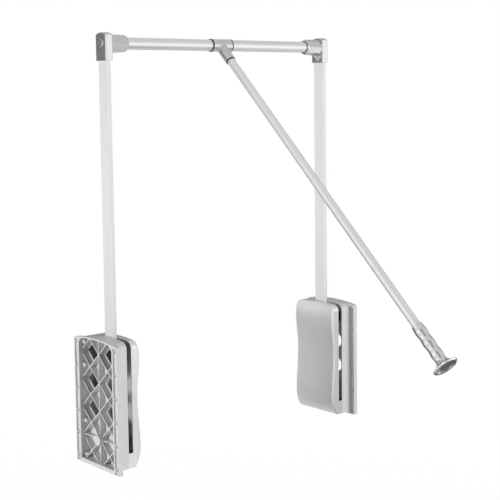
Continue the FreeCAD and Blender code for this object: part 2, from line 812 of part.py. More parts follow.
def main():
    for name, shape in left_pieces().items():
        shape.exportStep("parts/left_" + name + ".step")
        other = shape.mirror(V(mid_x, 0, 0), V(1, 0, 0))
        other.exportStep("parts/right_" + name + ".step")
    centre = {"core_tube": core_tube(), "tee": tee(), "tee_bushes": tee_bushes(), "rod_collar": rod_collar(),
              "pull_rod": pull_rod(), "grip": grip(), "grip_screw": grip_screw()}
    for name, shape in centre.items():
        shape.exportStep("parts/" + name + ".step")


main()
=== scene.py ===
import math

import bmesh
import bpy
from bpy.props import FloatProperty, FloatVectorProperty, IntProperty, PointerProperty
from mathutils import Matrix, Vector


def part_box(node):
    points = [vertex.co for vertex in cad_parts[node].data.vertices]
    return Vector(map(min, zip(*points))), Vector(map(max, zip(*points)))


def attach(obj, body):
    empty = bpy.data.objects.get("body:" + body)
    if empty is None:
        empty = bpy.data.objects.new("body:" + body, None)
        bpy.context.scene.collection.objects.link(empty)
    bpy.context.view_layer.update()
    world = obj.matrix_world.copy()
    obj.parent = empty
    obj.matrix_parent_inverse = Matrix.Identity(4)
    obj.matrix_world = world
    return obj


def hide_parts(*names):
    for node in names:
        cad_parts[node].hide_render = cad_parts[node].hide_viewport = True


bl_info = {
    "name": "Pull-down clothes rail",
    "version": (1, 0, 0),
    "blender": (4, 5, 0),
    "location": "View3D > Sidebar > Clothes rail",
    "description": "Dresses the wardrobe rail's housings, arms, rail, pull rod and grip",
    "category": "Object",
}

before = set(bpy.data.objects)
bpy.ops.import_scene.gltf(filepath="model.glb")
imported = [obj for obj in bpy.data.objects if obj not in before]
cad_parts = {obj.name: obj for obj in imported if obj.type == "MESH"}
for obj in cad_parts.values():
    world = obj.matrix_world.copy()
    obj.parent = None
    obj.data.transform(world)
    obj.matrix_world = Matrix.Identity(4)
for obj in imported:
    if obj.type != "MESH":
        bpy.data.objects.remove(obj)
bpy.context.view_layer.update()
SIDES = ("left", "right")

# Distances in metres within which the corners of a mesh are one
CAD_JOIN = 2e-6
SEAM_JOIN = 1e-6
MADE_JOIN = 1e-7
# Edges of a CAD mesh that are shorter than this are dropped
CAD_SLIVER = 1e-6
# Edges that bend by more than this stay sharp
CAD_CREASE = math.radians(28)
MADE_CREASE = math.radians(32)
# How strongly large flat faces level the shading beside them
FLAT_WEIGHT = 80
# Faces round a screw's head, rings over its whole ball and faces round its shank
HEAD_SIDES = 32
HEAD_RINGS = 16
SHANK_SIDES = 24


def linear(code):
    """sRGB hex colour as linear red, green and blue."""
    parts = [int(code[i:i + 2], 16) / 255 for i in (1, 3, 5)]
    return tuple(p / 12.92 if p <= 0.04045 else ((p + 0.055) / 1.055) ** 2.4 for p in parts)


def per_mm(repeat):
    """Texture scale whose pattern repeats about every so many millimetres."""
    return 1000.0 / repeat


def length(label, words, metres):
    return FloatProperty(name=label, description=words, default=metres, unit="LENGTH", precision=5)


def angle(label, words, degrees):
    return FloatProperty(name=label, description=words, default=math.radians(degrees),
                         subtype="ANGLE")


def share(label, words, part):
    return FloatProperty(name=label, description=words, default=part, min=0.1, max=0.9)


def count(label, words, number, least):
    return IntProperty(name=label, description=words, default=number, min=least)


def colour(label, words, code):
    return FloatVectorProperty(name=label, description=words, default=linear(code), subtype="COLOR",
                               size=3, min=0.0, max=1.0)


def power(label, words, watts):
    return FloatProperty(name=label, description=words, default=watts, unit="POWER")


def glow(label, words, strength):
    return FloatProperty(name=label, description=words, default=strength, min=0.0)


class RailSizes(bpy.types.PropertyGroup):
    """Sizes of the turned, repeated and added pieces, in the CAD model's frame."""
    tube_wall: length("Rail wall", "Wall of the rail's outer tubes", 0.0014)
    core_wall: length("Core wall", "Wall of the tube inside the rail", 0.0015)
    rod_wall: length("Rod wall", "Wall of the pull rod", 0.0012)
    tube_ease: length("Tube ease", "Softened edge at the tubes' ends", 0.00035)
    rod_lean: angle("Rod lean", "Angle of the pull rod from plumb", 46.6)
    rod_start: length("Rod start", "Top of the rod below the tee's centre", 0.0145)
    rod_end: length("Rod end", "Foot of the rod inside the grip", 0.752)
    grip_start: length("Grip start", "Top of the grip below the tee's centre", 0.700)
    grip_end: length("Grip end", "Rim of the grip below the tee's centre", 0.788)
    grip_valley: length("Grip valley", "Radius of the grip between swells", 0.0096)
    grip_swell: length("Grip swell", "Rise of each swell", 0.0012)
    swell_length: length("Swell length", "Length of one swell", 0.0235)
    swell_count: count("Swells", "Swells along the grip", 3, 1)
    flare_radius: length("Flare radius", "Radius of the flared end", 0.023)
    flare_rim: length("Flare rim", "Rounding of the flare's rim", 0.0032)
    rim_roll: angle("Rim roll", "How far the rim rolls into the dish", 26.0)
    dish_depth: length("Dish depth", "Depth of the dished end", 0.006)
    head_height: length("Head height", "Height of a screw's domed head", 0.0022)
    case_shank: length("Case screw shank", "Radius of the case screws' shanks", 0.0017)
    corner_shank: length("Corner screw shank", "Radius of the corner screws' shanks", 0.003)
    drive_share: share("Drive share", "Cross recess against the head's width", 0.56)
    blade_share: share("Blade share", "Width of the recess's blades against their length", 0.27)
    # The sizes below place a black sheet of painted shade in the front top window of each tray
    shade_sheet_place: length("Shade sheet place", "Middle of the front top window from the pivot", -0.0295)
    shade_sheet_level: length("Shade sheet level", "Middle of the front top window above the pivot", 0.159)
    shade_sheet_width: length("Shade sheet width", "Width of the shade sheet, let into the rim", 0.0464)
    shade_sheet_height: length("Shade sheet height", "Height of the shade sheet, let into the rim", 0.0418)
    shade_sheet_depth: length("Shade sheet depth", "Shade sheet's face from the wall plane", 0.0201)
    shade_sheet_thick: length("Shade sheet thickness", "Thickness of the shade sheet", 0.0007)
    shade_sheet_rib: length("Shade sheet rib", "Width and rise of the shade sheet's upright rib", 0.0012)
    turned_sides: count("Turned sides", "Faces round a turned piece", 96, 24)


class RailColours(bpy.types.PropertyGroup):
    """Colours of the finishes."""
    shell: colour("Shell", "Moulded wall halves", "#d4d5d6")
    cover: colour("Cover", "Lacquered room halves", "#dddedf")
    connector: colour("Connector", "Corner connectors and tee", "#c0c1c3")
    arm: colour("Arm", "Swing arms", "#dcddde")
    rail: colour("Rail", "Rail tubes", "#d6d7d8")
    rod: colour("Rod", "Pull rod", "#dfe0e1")
    grip: colour("Grip", "Polished grip", "#cfcfd0")
    # Black also colours the sheets of painted shade in the front top windows
    black: colour("Black", "Bushes, collars and painted-shade sheets", "#141415")
    nylon: colour("Nylon", "Guides and washers", "#d9d7d0")
    steel: colour("Steel", "Axles, piston rods and corner screws", "#b4b4b3")
    zinc: colour("Zinc", "Plated case screws", "#e2e2e0")
    casting: colour("Casting", "Hubs and racks", "#6d6e70")
    enamel: colour("Enamel", "Gas springs", "#d6d6d5")
    rubber: colour("Rubber", "Stops", "#161616")


class RailStage(bpy.types.PropertyGroup):
    """Camera and light."""
    camera_place: FloatVectorProperty(name="Camera", description="Camera's place",
                                      subtype="TRANSLATION", unit="LENGTH",
                                      default=(-1.14931, -1.79556, 0.63685))
    camera_yaw: angle("Yaw", "Turn to the right of the front", 40.3737)
    camera_pitch: angle("Pitch", "Tilt above the horizon", -5.3984)
    camera_roll: angle("Roll", "Turn about the line of sight", -0.6969)
    lens: FloatProperty(name="Lens", description="Focal length on a 36 mm sensor", default=84.438,
                        subtype="DISTANCE_CAMERA")
    rise: FloatProperty(name="Rise", description="Vertical lens shift", default=-0.095)
    floor_level: length("Floor", "Height of the floor", -1.1)
    key_power: power("Key light", "Front softbox", 118.0)
    side_power: power("Side light", "Left softbox", 730.0)
    fill_power: power("Fill light", "Right back softbox", 340.0)
    sky: glow("Room light", "Even light from all round", 0.06)
    card_pale: glow("Pale card", "Brightness of the ceiling card", 0.88)
    card_grey: glow("Grey cards", "Brightness of the right, back and cover cards", 0.35)
    card_dark: glow("Dark card", "Brightness of the ceiling strip", 0.22)
    card_left: glow("Left cards", "Brightness of the left, rod and grip cards", 0.15)
    window: glow("Left windows", "Brightness of the left windows", 1.5)
    front_window: glow("Front window", "Brightness of the front window", 1.7)
    edge_window: glow("Edge window", "Brightness of the window that rounded edges show", 2.2)


# Node and mesh tools

def add(tree, kind, inputs=None, **settings):
    """Adds a node, sets it up and fills or links its inputs."""
    made = tree.nodes.new(kind)
    for key, value in settings.items():
        setattr(made, key, value)
    for key, value in (inputs or {}).items():
        if isinstance(value, bpy.types.NodeSocket):
            tree.links.new(value, made.inputs[key])
        else:
            made.inputs[key].default_value = value
    return made


def bare(owner):
    """The emptied node tree of a new material or world."""
    owner.use_nodes = True
    owner.node_tree.nodes.clear()
    return owner.node_tree


def blank(name, **surface):
    """A material with one Principled surface."""
    made = bpy.data.materials.new(name)
    tree = bare(made)
    shader = add(tree, "ShaderNodeBsdfPrincipled", surface)
    add(tree, "ShaderNodeOutputMaterial", {"Surface": shader.outputs[0]})
    return made, tree, shader


def link(obj):
    """Puts a new object into the scene."""
    bpy.context.scene.collection.objects.link(obj)
    return obj


def own(obj, body, slot, *stands_for):
    """Ties a finished piece to its CAD body and hides the CAD nodes it stands for. The slot is not
    used.
    """
    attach(obj, body)
    if stands_for:
        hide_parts(*stands_for)
    return obj


def coat(mesh, finish):
    """Gives a mesh one finish all over."""
    mesh.materials.clear()
    mesh.materials.append(finish)


def dress(node, finish):
    """Gives a CAD node its finish."""
    coat(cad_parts[node].data, finish)


def moulding(node, finish, body, slot):
    """The CAD node's shape as one joined mesh with smooth curved faces, in its finish."""
    name = node + "_finished"
    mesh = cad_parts[node].data.copy()
    mesh.name = name
    shape = bmesh.new()
    shape.from_mesh(mesh)
    bmesh.ops.remove_doubles(shape, verts=shape.verts, dist=CAD_JOIN)
    bmesh.ops.dissolve_degenerate(shape, dist=CAD_SLIVER, edges=shape.edges)
    shape.to_mesh(mesh)
    shape.free()
    coat(mesh, finish)
    # Normals that came with the CAD mesh would hide the smoothing below
    if "custom_normal" in mesh.attributes:
        mesh.attributes.remove(mesh.attributes["custom_normal"])
    mesh.shade_smooth()
    mesh.set_sharp_from_angle(angle=CAD_CREASE)
    obj = link(bpy.data.objects.new(name, mesh))
    even = obj.modifiers.new("Level flats", "WEIGHTED_NORMAL")
    even.mode = "FACE_AREA"
    even.weight = FLAT_WEIGHT
    even.keep_sharp = True
    return own(obj, body, slot, node)


def settle(obj):
    """Turns the object's node modifier into a plain closed mesh that faces outwards."""
    graph = bpy.context.evaluated_depsgraph_get()
    mesh = bpy.data.meshes.new_from_object(obj.evaluated_get(graph), depsgraph=graph)
    obj.modifiers.clear()
    obj.data = mesh
    shape = bmesh.new()
    shape.from_mesh(mesh)
    bmesh.ops.remove_doubles(shape, verts=shape.verts, dist=MADE_JOIN)
    bmesh.ops.recalc_face_normals(shape, faces=shape.faces)
    shape.to_mesh(mesh)
    shape.free()
    mesh.shade_smooth()
    mesh.set_sharp_from_angle(angle=MADE_CREASE)
    return obj


def modify(obj, tree, **values):
    """Adds a node modifier and sets its named inputs."""
    modifier = obj.modifiers.new(tree.name, "NODES")
    modifier.node_group = tree
    sockets = {s.name: s.identifier for s in tree.interface.items_tree if s.in_out == "INPUT"}
    for label, value in values.items():
        modifier[sockets[label]] = value


def new_tree(name, **inputs):
    """A geometry node tree with named inputs, its input sockets and its output node."""
    tree = bpy.data.node_groups.new(name, "GeometryNodeTree")
    tree.interface.new_socket("Geometry", in_out="INPUT", socket_type="NodeSocketGeometry")
    for label, kind in inputs.items():
        tree.interface.new_socket(label, in_out="INPUT", socket_type="NodeSocket" + kind)
    tree.interface.new_socket("Geometry", in_out="OUTPUT", socket_type="NodeSocketGeometry")
    return tree, add(tree, "NodeGroupInput").outputs, add(tree, "NodeGroupOutput")


def end_tree(tree, shape, finish, end):
    """Links a shape to the tree's output node, as one real mesh in its finish."""
    solid = add(tree, "GeometryNodeRealizeInstances", {"Geometry": shape})
    done = add(tree, "GeometryNodeSetMaterial", {"Geometry": solid.outputs[0], "Material": finish})
    tree.links.new(done.outputs[0], end.inputs[0])


def turned_tree():
    """Turns a profile drawn in X and Z about the Z axis, then leans and places it."""
    tree, given, end = new_tree("Turned piece", Sides="Int", Place="Vector", Lean="Rotation",
                                Finish="Material")
    drawn = add(tree, "GeometryNodeAttributeDomainSize", {"Geometry": given["Geometry"]},
                component="MESH")
    rings = drawn.outputs["Point Count"]
    columns = add(tree, "ShaderNodeMath", {0: given["Sides"], 1: 1.0}, operation="ADD")
    grid = add(tree, "GeometryNodeMeshGrid",
               {"Vertices X": columns.outputs[0], "Vertices Y": rings})
    index = add(tree, "GeometryNodeInputIndex").outputs[0]
    ring = add(tree, "ShaderNodeMath", {0: index, 1: rings}, operation="MODULO")
    across = add(tree, "ShaderNodeMath", {0: index, 1: rings}, operation="DIVIDE")
    column = add(tree, "ShaderNodeMath", {0: across.outputs[0]}, operation="FLOOR")
    part = add(tree, "ShaderNodeMath", {0: column.outputs[0], 1: given["Sides"]},
               operation="DIVIDE")
    sweep = add(tree, "ShaderNodeMath", {0: part.outputs[0], 1: 2 * math.pi}, operation="MULTIPLY")
    place = add(tree, "GeometryNodeInputPosition").outputs[0]
    point = add(tree, "GeometryNodeSampleIndex",
                {"Geometry": given["Geometry"], "Value": place, "Index": ring.outputs[0]},
                data_type="FLOAT_VECTOR", domain="POINT")
    spun = add(tree, "ShaderNodeVectorRotate",
               {"Vector": point.outputs[0], "Angle": sweep.outputs[0]}, rotation_type="Z_AXIS")
    skin = add(tree, "GeometryNodeSetPosition",
               {"Geometry": grid.outputs["Mesh"], "Position": spun.outputs[0]})
    closed = add(tree, "GeometryNodeMergeByDistance",
                 {"Geometry": skin.outputs[0], "Distance": SEAM_JOIN})
    placed = add(tree, "GeometryNodeTransform",
                 {"Geometry": closed.outputs[0], "Translation": given["Place"],
                  "Rotation": given["Lean"]})
    end_tree(tree, placed.outputs[0], given["Finish"], end)
    return tree


def turned(node, profile, place, lean, finish, body, slot):
    """A turned piece in place of a CAD node, from its half profile as radius and height."""
    name = node + "_finished"
    mesh = bpy.data.meshes.new(name)
    edges = [(i, i + 1) for i in range(len(profile) - 1)]
    mesh.from_pydata([(r, 0.0, z) for r, z in profile], edges, [])
    obj = link(bpy.data.objects.new(name, mesh))
    tree = bpy.data.node_groups.get("Turned piece") or turned_tree()
    modify(obj, tree, Sides=bpy.context.scene.rail_sizes.turned_sides, Place=tuple(place),
           Lean=lean, Finish=finish)
    return own(settle(obj), body, slot, node)


def screw_tree():
    """Domed screws with a cross recess and a plain shank, one on each point of the mesh."""
    tree, given, end = new_tree("Cross-head screws", Radius="Float", Height="Float", Wing="Float",
                                Blade="Float", Shank="Float", Length="Float", Lean="Rotation",
                                Finish="Material")
    ball = add(tree, "GeometryNodeMeshUVSphere",
               {"Segments": HEAD_SIDES, "Rings": HEAD_RINGS, "Radius": 1.0})
    place = add(tree, "GeometryNodeInputPosition").outputs[0]
    spot = add(tree, "ShaderNodeSeparateXYZ", {"Vector": place}).outputs
    above = add(tree, "ShaderNodeMath", {0: spot["Z"], 1: 0.0}, operation="MAXIMUM")
    lifted = add(tree, "ShaderNodeCombineXYZ",
                 {"X": spot["X"], "Y": spot["Y"], "Z": above.outputs[0]})
    bun = add(tree, "GeometryNodeSetPosition",
              {"Geometry": ball.outputs["Mesh"], "Position": lifted.outputs[0]})
    girth = add(tree, "ShaderNodeCombineXYZ",
                {"X": given["Radius"], "Y": given["Radius"], "Z": given["Height"]})
    dome = add(tree, "GeometryNodeTransform",
               {"Geometry": bun.outputs[0], "Scale": girth.outputs[0]})
    top = add(tree, "ShaderNodeCombineXYZ", {"Z": given["Height"]})
    cut = add(tree, "GeometryNodeMeshBoolean",
              {"Mesh 1": dome.outputs[0], "Self Intersection": True},
              operation="DIFFERENCE", solver="EXACT")
    for along, across in (("Wing", "Blade"), ("Blade", "Wing")):
        span = add(tree, "ShaderNodeCombineXYZ",
                   {"X": given[along], "Y": given[across], "Z": given["Height"]})
        cube = add(tree, "GeometryNodeMeshCube", {"Size": span.outputs[0]})
        blade = add(tree, "GeometryNodeTransform",
                    {"Geometry": cube.outputs["Mesh"], "Translation": top.outputs[0]})
        tree.links.new(blade.outputs[0], cut.inputs["Mesh 2"])
    pin = add(tree, "GeometryNodeMeshCylinder",
              {"Vertices": SHANK_SIDES, "Radius": given["Shank"], "Depth": given["Length"]})
    half = add(tree, "ShaderNodeMath", {0: given["Length"], 1: -0.5}, operation="MULTIPLY")
    down = add(tree, "ShaderNodeCombineXYZ", {"Z": half.outputs[0]})
    shank = add(tree, "GeometryNodeTransform",
                {"Geometry": pin.outputs["Mesh"], "Translation": down.outputs[0]})
    screw = add(tree, "GeometryNodeJoinGeometry", {0: cut.outputs["Mesh"]})
    tree.links.new(shank.outputs[0], screw.inputs[0])
    rows = add(tree, "GeometryNodeInstanceOnPoints",
               {"Points": given["Geometry"], "Instance": screw.outputs[0],
                "Rotation": given["Lean"]})
    end_tree(tree, rows.outputs[0], given["Finish"], end)
    return tree


def islands(node):
    """Lowest and highest corner of each separate solid in a CAD node."""
    shape = bmesh.new()
    shape.from_mesh(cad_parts[node].data)
    bmesh.ops.remove_doubles(shape, verts=shape.verts, dist=CAD_JOIN)
    waiting = set(shape.verts)
    boxes = []
    for seed in shape.verts:
        if seed not in waiting:
            continue
        waiting.remove(seed)
        reach = [seed]
        found = []
        while reach:
            vert = reach.pop()
            found.append(vert.co.copy())
            near = {edge.other_vert(vert) for edge in vert.link_edges} & waiting
            waiting -= near
            reach.extend(near)
        boxes.append((Vector([min(p[i] for p in found) for i in range(3)]),
                      Vector([max(p[i] for p in found) for i in range(3)])))
    shape.free()
    return boxes


def screws(side, node, shank, finish, body):
    """Cross-head screws in place of a CAD node's, with their heads towards the wall."""
    s = bpy.context.scene.rail_sizes
    boxes = islands(node)
    low, high = boxes[0]
    radius = (high.y - low.y) / 2
    depth = high.x - low.x - s.head_height
    facing = -1 if side == "left" else 1
    seats = []
    for low, high in boxes:
        seat = (low + high) / 2
        seat.x = low.x + s.head_height if side == "left" else high.x - s.head_height
        seats.append(tuple(seat))
    mesh = bpy.data.meshes.new(node)
    mesh.from_pydata(seats, [], [])
    obj = link(bpy.data.objects.new(node + "_finished", mesh))
    tree = bpy.data.node_groups.get("Cross-head screws") or screw_tree()
    wing = 2 * radius * s.drive_share
    modify(obj, tree, Radius=radius, Height=s.head_height, Wing=wing, Blade=wing * s.blade_share,
           Shank=shank, Length=depth, Lean=(0.0, facing * math.pi / 2, 0.0), Finish=finish)
    return own(settle(obj), body, "zinc_screw", node)


def prism(shape, ring, near, far):
    """Adds a closed block to a mesh in the making: a ring of Y and Z between two depths in X."""
    ends = [[shape.verts.new((x, y, z)) for y, z in ring] for x in (near, far)]
    corners = len(ring)
    for i in range(corners):
        k = (i + 1) % corners
        shape.faces.new((ends[0][i], ends[0][k], ends[1][k], ends[1][i]))
    for end in ends:
        shape.faces.new(end)


# Finishes

# Levels of a pattern between which a colour drifts
DRIFT = (0.3, 0.7)
# Draw lines are this many times longer than they are wide
ALONG_X = (100, 1, 1)
ALONG_Z = (1, 1, 100)
FINISHES = {}


def vary(tree, surface, rgb, tint, grain, rough, spread, give, relief=None):
    """The pattern tint shifts the colour by the share spread, and grain the roughness by give.

    Grain also raises a relief, if there is one: the bump's strength and its height in metres.
    """
    ramp = add(tree, "ShaderNodeValToRGB", {"Fac": tint.outputs["Fac"]})
    for end, position, part in zip(ramp.color_ramp.elements, DRIFT, (1 - spread, 1 + spread)):
        end.position = position
        end.color = (*[min(1.0, c * part) for c in rgb], 1)
    tree.links.new(ramp.outputs["Color"], surface.inputs["Base Color"])
    depth = grain.outputs["Fac"]
    span = add(tree, "ShaderNodeMapRange",
               {"Value": depth, "To Min": rough - give, "To Max": rough + give})
    tree.links.new(span.outputs[0], surface.inputs["Roughness"])
    if relief:
        strength, height = relief
        bump = add(tree, "ShaderNodeBump",
                   {"Height": depth, "Strength": strength, "Distance": height})
        tree.links.new(bump.outputs[0], surface.inputs["Normal"])


def moulded_abs(name, rgb, rough, sheen):
    # ABS moulded with silver pigment: a spark-eroded grain breaks the sheen, and the pigment
    # clouds a little. The real grain is near 0.2 mm and is drawn at 0.7 mm so that it shows.
    made, tree, surface = blank(name, Metallic=sheen, Roughness=rough)
    spot = add(tree, "ShaderNodeTexCoord").outputs["Object"]
    cloud = add(tree, "ShaderNodeTexNoise", {"Vector": spot, "Scale": per_mm(30), "Detail": 3.0})
    grain = add(tree, "ShaderNodeTexNoise", {"Vector": spot, "Scale": per_mm(0.7), "Detail": 2.0})
    vary(tree, surface, rgb, cloud, grain, rough, spread=0.025, give=0.06, relief=(0.12, 0.00012))
    return made


def anodised(name, rgb, rough, metal, stretch, turn=(0, 0, 0)):
    # Extruded aluminium, satin anodised: draw lines run along the length, and the oxide softens
    # every reflection. The lines are near 0.1 mm apart and are drawn at 1.5 mm so that they show.
    made, tree, surface = blank(name, Metallic=metal, Roughness=rough)
    spot = add(tree, "ShaderNodeTexCoord").outputs["Object"]
    laid = add(tree, "ShaderNodeMapping", {"Vector": spot, "Rotation": turn, "Scale": stretch},
               vector_type="TEXTURE").outputs[0]
    lines = add(tree, "ShaderNodeTexNoise", {"Vector": laid, "Scale": per_mm(1.5), "Detail": 2.0})
    vary(tree, surface, rgb, lines, lines, rough, spread=0.015, give=0.03, relief=(0.02, 0.0001))
    return made


def polished(name, rgb, rough):
    # Polished cast aluminium: near mirror, with a faint haze where hands have dulled it.
    made, tree, surface = blank(name, Metallic=1.0, Roughness=rough)
    spot = add(tree, "ShaderNodeTexCoord").outputs["Object"]
    haze = add(tree, "ShaderNodeTexNoise", {"Vector": spot, "Scale": per_mm(9), "Detail": 4.0})
    vary(tree, surface, rgb, haze, haze, rough, spread=0.02, give=0.02)
    return made


def machined(name, rgb, rough, grit, metal):
    # Worked metal, enamel or plain plastic: a fine even grit breaks up one colour and its gloss.
    # Real grit is under 0.2 mm; it is drawn at the given size in millimetres so that it shows.
    made, tree, surface = blank(name, Metallic=metal, Roughness=rough)
    spot = add(tree, "ShaderNodeTexCoord").outputs["Object"]
    pits = add(tree, "ShaderNodeTexNoise", {"Vector": spot, "Scale": per_mm(grit), "Detail": 3.0})
    vary(tree, surface, rgb, pits, pits, rough, spread=0.06, give=0.08, relief=(0.15, 0.0001))
    return made


def finishes():
    """All finishes of the rail, made once."""
    if FINISHES:
        return FINISHES
    c = bpy.context.scene.rail_colours
    leaning = (-bpy.context.scene.rail_sizes.rod_lean, 0, 0)
    FINISHES.update({
        "shell": moulded_abs("Moulded silver ABS", c.shell, rough=0.42, sheen=0.05),
        "cover": moulded_abs("Lacquered silver ABS", c.cover, rough=0.36, sheen=0.5),
        "connector": moulded_abs("Satin nickel ABS", c.connector, rough=0.26, sheen=0.9),
        "arm": anodised("Anodised arm aluminium", c.arm, rough=0.42, metal=0.15, stretch=ALONG_Z),
        "rail": anodised("Anodised rail aluminium", c.rail, rough=0.44, metal=0.9, stretch=ALONG_X),
        "rod": anodised("Anodised rod aluminium", c.rod, rough=0.48, metal=0.9, stretch=ALONG_Z,
                        turn=leaning),
        "grip": polished("Polished cast aluminium", c.grip, rough=0.2),
        "black": machined("Black acetal", c.black, rough=0.42, grit=1.2, metal=0.0),
        "nylon": machined("Natural nylon", c.nylon, rough=0.5, grit=2.0, metal=0.0),
        "steel": machined("Ground steel", c.steel, rough=0.3, grit=0.8, metal=1.0),
        "zinc": machined("Zinc plated steel", c.zinc, rough=0.35, grit=0.9, metal=0.5),
        "casting": machined("Die-cast zinc", c.casting, rough=0.5, grit=1.6, metal=0.9),
        "enamel": machined("Light grey enamel", c.enamel, rough=0.35, grit=4.0, metal=0.0),
        "rubber": machined("Black rubber", c.rubber, rough=0.75, grit=1.0, metal=0.0),
    })
    return FINISHES


# Profiles of the turned pieces, as radius and height

# Softened mouth of the grip's bore, and the steps in and down that round the grip's top edge
BORE_EASE = 0.0003
SHOULDER = ((0.0008, 0.0), (0.0003, 0.0004))
# Plain band above the first swell
TOP_BAND = 0.002
# Share of the flare that opens evenly, and how late the rest of it opens
EVEN_FLARE = 0.22
FLARE_POWER = 2.4
# Points along each swell, the flare, its rim and its dish
SWELL_STEPS = 16
FLARE_STEPS = 14
RIM_STEPS = 12
DISH_STEPS = 14


def tube_profile(outer, wall, low, high, ease):
    """A tube's wall with softened edges at both ends."""
    inner = outer - wall
    return [(inner, low + ease), (inner + ease, low), (outer - ease, low), (outer, low + ease),
            (outer, high - ease), (outer - ease, high), (inner + ease, high), (inner, high - ease),
            (inner, low + ease)]


def grip_profile(s, bore):
    """Swells, then a flare with a rounded rim and a dished end; closed over the rod's bore."""
    top = -s.grip_start
    points = [(0.0, -s.rod_end), (bore, -s.rod_end), (bore, top - BORE_EASE),
              (bore + BORE_EASE, top)]
    for step_in, step_down in SHOULDER:
        points.append((s.grip_valley - step_in, top - step_down))
    start = top - TOP_BAND
    for i in range(SWELL_STEPS * s.swell_count + 1):
        rise = s.grip_swell * math.sin(math.pi * i / SWELL_STEPS) ** 2
        points.append((s.grip_valley + rise, start - s.swell_length * i / SWELL_STEPS))
    neck = points[-1][1]
    foot = -s.grip_end
    drop = neck - foot - s.flare_rim
    widening = s.flare_radius - s.grip_valley
    for i in range(1, FLARE_STEPS + 1):
        t = i / FLARE_STEPS
        opened = EVEN_FLARE * t + (1 - EVEN_FLARE) * t ** FLARE_POWER
        points.append((s.grip_valley + widening * opened, neck - drop * t))
    for i in range(1, RIM_STEPS + 1):
        a = (math.pi / 2 + s.rim_roll) * i / RIM_STEPS
        points.append((s.flare_radius - s.flare_rim + s.flare_rim * math.cos(a),
                       foot + s.flare_rim - s.flare_rim * math.sin(a)))
    edge, lip = points[-1]
    hollow = foot + s.dish_depth - lip
    ball = (edge ** 2 + hollow ** 2) / (2 * hollow)
    for i in range(1, DISH_STEPS + 1):
        r = edge * (1 - i / DISH_STEPS)
        points.append((r, foot + s.dish_depth - ball + math.sqrt(ball ** 2 - r ** 2)))
    return points


# Stage, in metres but for the camera's sensor, which is in millimetres

WHITE = (1, 1, 1, 1)
SENSOR_WIDTH = 36.0
VIEW_END = 60.0
FLOOR_REACH = 40.0
FLOOR_COLOUR = (0.86, 0.86, 0.86, 1)
# The floor turns to plain white between these distances from the pivot
FLOOR_FADE = {"From Min": 1.5, "From Max": 4.0, "To Min": 0.975, "To Max": 1.0}
LIGHT_AIM = Vector((0.3, -0.1, 0.3))
SOFTBOX_WIDTH = 3.0
# Each softbox's place and the property with its power
SOFTBOXES = (
    ("Key softbox", (1.2, -3.3, 1.5), "key_power"),
    ("Side softbox", (-9.0, 1.9, 1.4), "side_power"),
    ("Fill softbox", (7.5, 3.0, 0.9), "fill_power"),
)
# Each card's middle, its two half sides and the property with its brightness
CARDS = (
    ("Ceiling card", (1.25, -0.3, 2.3), (1.95, 0, 0), (0, 2.4, 0), "card_pale"),
    ("Ceiling strip", (-0.75, -2.5, 2.3), (1.1, 0, 0), (0, 1.55, 0), "card_dark"),
    ("Right card", (2.6, 0.9, 1.0), (0, 1.5, 0), (0, 0, 1.5), "card_grey"),
    ("Back card", (2.1, 2.1, 0.7), (0.75, -0.6, 0), (0, 0, 2.0), "card_grey"),
    ("Low left card", (-0.1, 1.0, -0.47), (0.9, 0, 0), (0, 0, 0.6), "card_left"),
    ("High left card", (-0.47, 1.0, 0.95), (0.53, 0, 0), (0, 0, 0.4), "card_left"),
    ("Rod card", (0.65, 1.0, 0.35), (0.22, 0, 0), (0, 0, 0.3), "card_left"),
    ("Grip card", (0.58, -0.475, -0.164), (0.22, 0, 0), (0, 0.475, 0), "card_left"),
    ("Left window", (-2.52, 0.06, 1.05), (-0.15, -0.68, 0), (0, 0, 0.75), "window"),
    ("Low window", (-2.4, 1.0, 0.05), (-0.33, -0.5, 0), (0, 0, 0.5), "window"),
    ("Front window", (2.19, -2.33, 0.1), (0.93, 0.755, 0), (0, 0, 1.19), "front_window"),
    ("Cover card", (1.02, -0.54, -0.12), (0.14, 0.14, 0), (0, 0, 0.28), "card_grey"),
    ("Edge window", (-1.7, -2.5, 0.7), (0.43, -0.345, 0), (0, 0, 0.9), "edge_window"),
)


